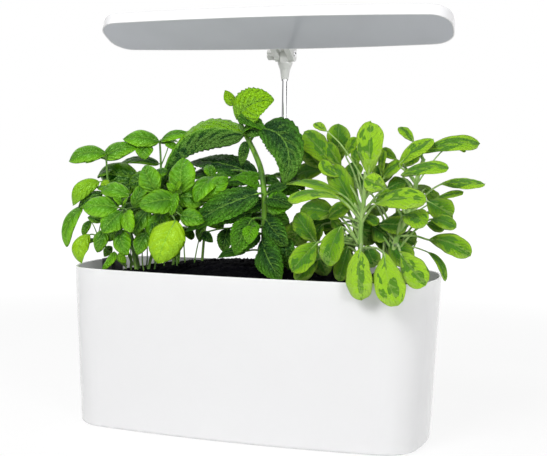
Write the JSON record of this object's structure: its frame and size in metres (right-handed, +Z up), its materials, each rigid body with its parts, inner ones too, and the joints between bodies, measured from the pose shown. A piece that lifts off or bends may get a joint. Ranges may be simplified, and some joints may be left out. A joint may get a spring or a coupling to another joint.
{
  "type": "countertop hydroponic garden",
  "caption": "Countertop hydroponic herb garden: white oval tub with planting tray, fill column and pump, telescoping mast and a tilting grow lamp over basil, mint and sage.",
  "frame": {"origin": "centre of the tub's flat underside", "axes": "+X to the right seen from the front, +Y to the back where the mast stands, +Z up"},
  "size_m": [0.466, 0.209, 0.4577],
  "materials": {
    "white_gloss": "gloss",
    "tray_black": "satin",
    "growing_medium": "matte granular",
    "basil_green": "satin leaf",
    "mint_green": "matte leaf",
    "sage_green": "matte leaf",
    "mast_chrome": "polished",
    "bolt_steel": "brushed",
    "bush_nylon": "satin",
    "lamp_white": "gloss",
    "diffuser_grey": "gloss",
    "board_white": "white solder mask",
    "driver_green": "satin",
    "led_white": "satin",
    "led_red": "satin",
    "switch_black": "satin",
    "pump_black": "satin",
    "foot_rubber": "matte",
    "hose_silicone": "satin",
    "insert_brass": "turned",
    "float_white": "satin"
  },
  "bodies": {
    "garden": {"tub": "white_gloss", "grow_tray": "tray_black", "growing_medium": "growing_medium", "root_plugs": "growing_medium", "fill_column": "tray_black", "float_guide": "tray_black", "pump_body": "pump_black", "pump_cover": "pump_black", "pump_shaft": "bolt_steel", "pump_feet": "foot_rubber", "riser_hose": "hose_silicone", "mast_socket": "white_gloss", "socket_screws": "bolt_steel", "power_inlet": "switch_black", "inlet_pin": "insert_brass", "lower_tube": "mast_chrome", "top_bush": "bush_nylon", "basil": "basil_green", "mint": "mint_green", "sage": "sage_green"},
    "float": {"level_float": "float_white"},
    "impeller": {"impeller": "pump_black"},
    "mast": {"upper_tube": "mast_chrome", "foot_bush": "bush_nylon", "mast_collar": "mast_chrome"},
    "neck": {"neck": "white_gloss"},
    "lamp": {"lamp_bracket": "lamp_white", "pivot_bolt": "mast_chrome", "pivot_washer": "bolt_steel", "panel_shell": "lamp_white", "diffuser": "diffuser_grey", "led_board": "board_white", "white_leds": "led_white", "red_leds": "led_red", "board_screws": "bolt_steel", "driver_board": "driver_green", "button_switch": "switch_black", "bracket_screws": "bolt_steel"},
    "knob": {"clamp_knob": "white_gloss", "knob_insert": "insert_brass"},
    "button": {"power_button": "lamp_white"}
  },
  "joints": [
    {"name": "mast_slide", "type": "slide", "parent": "garden", "child": "mast", "axis": [0, 0, 1], "range_m": [-0.03, 0.08]},
    {"name": "neck_swivel", "type": "hinge", "parent": "mast", "child": "neck", "pos_m": [0, 0.0984, 0.3863], "axis": [0, 0, 1], "range_deg": [-45, 45]},
    {"name": "lamp_tilt", "type": "hinge", "parent": "neck", "child": "lamp", "pos_m": [0, 0.0984, 0.4161], "axis": [1, 0, 0], "range_deg": [-30, 23]},
    {"name": "knob_turn", "type": "hinge", "parent": "lamp", "child": "knob", "pos_m": [0, 0.0984, 0.4161], "axis": [1, 0, 0], "range_deg": [0, 360]},
    {"name": "button_press", "type": "slide", "parent": "lamp", "child": "button", "axis": [0, -0.3907, -0.9205], "range_m": [0, 0.0008], "stiffness_N_per_m": 1500, "springref_m": -0.0004},
    {"name": "float_rise", "type": "slide", "parent": "garden", "child": "float", "axis": [0, 0, 1], "range_m": [0, 0.04]},
    {"name": "impeller_spin", "type": "hinge", "parent": "garden", "child": "impeller", "pos_m": [0.17, 0, 0.017], "axis": [1, 0, 0], "continuous": true}
  ]
}
